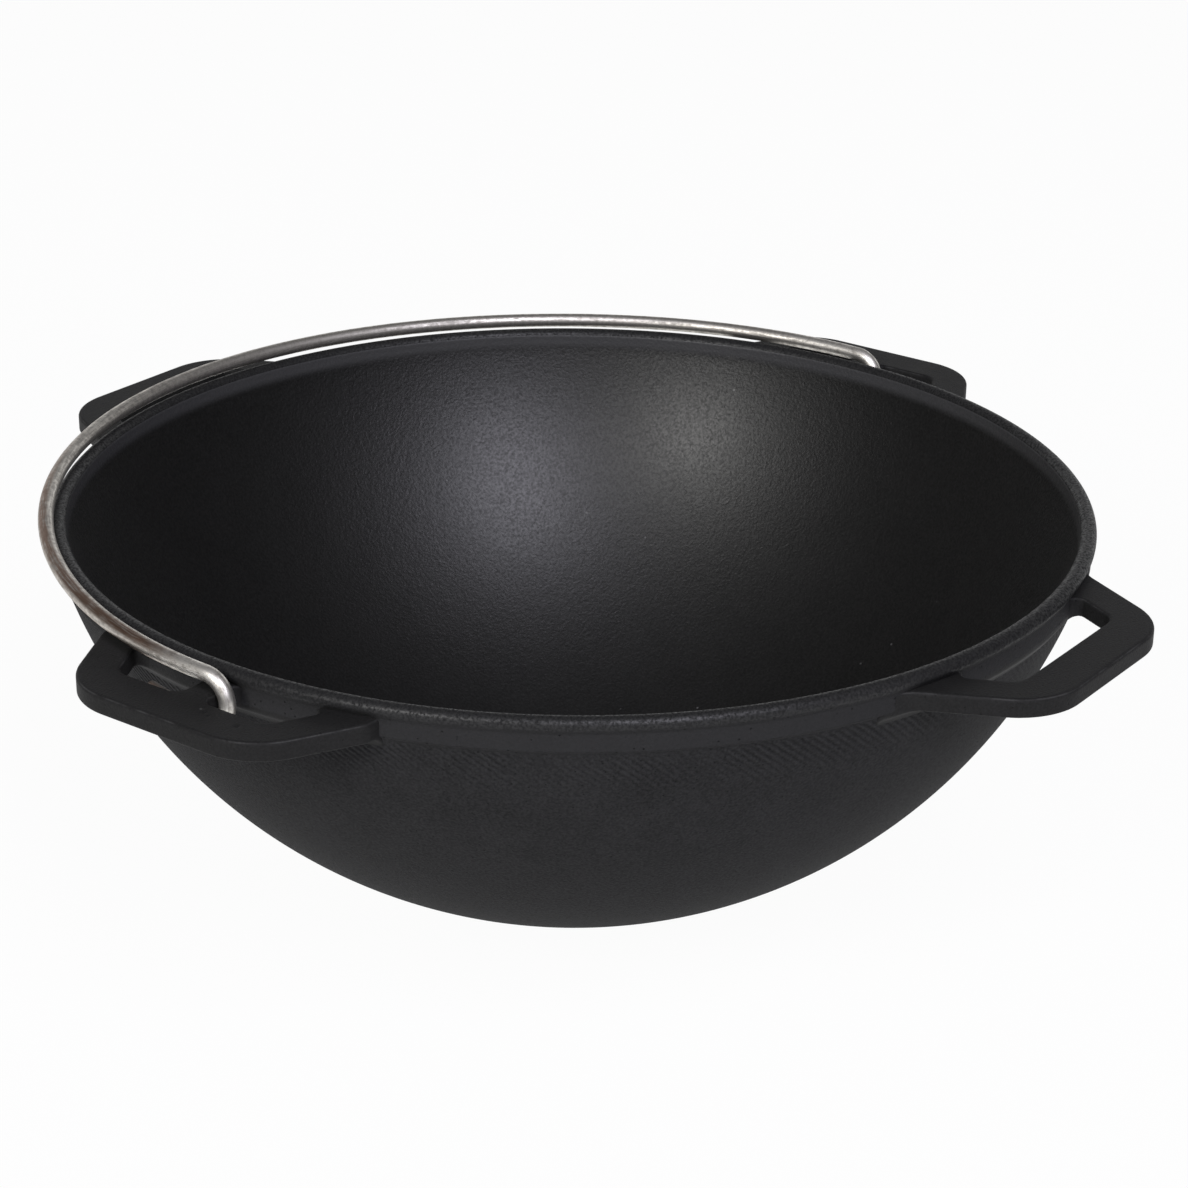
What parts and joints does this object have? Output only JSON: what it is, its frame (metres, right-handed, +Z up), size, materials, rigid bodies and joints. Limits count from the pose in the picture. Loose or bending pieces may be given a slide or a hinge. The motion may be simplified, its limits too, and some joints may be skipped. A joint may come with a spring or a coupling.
{
  "type": "cast iron cauldron",
  "caption": "Round-bottomed open cauldron with flat loop ears at the rim and a swinging steel wire bail, for cooking over a hearth or on a ring stove.",
  "frame": {"origin": "on the ground under the middle of the bowl's round mouth", "axes": "+Z up along the bowl's axis, X along the bail's swing axis through both bail ears, +Y towards the handle that the folded bail lies over"},
  "size_m": [0.4658, 0.4658, 0.1646],
  "materials": {
    "cast_iron_body": "matte black sand-cast iron outside, satin and faintly dimpled inside",
    "steel_wire": "bare drawn steel wire, dull grey with brown heat stains"
  },
  "bodies": {
    "casting": {"bowl": "cast_iron_body", "front_handle": "cast_iron_body", "back_handle": "cast_iron_body", "left_bail_ear": "cast_iron_body", "right_bail_ear": "cast_iron_body"},
    "bail": {"bail": "steel_wire"}
  },
  "joints": [
    {"name": "bail_swing", "type": "hinge", "parent": "casting", "child": "bail", "pos_m": [0, 0, 0.1486], "axis": [1, 0, 0], "range_deg": [0, 149]}
  ]
}
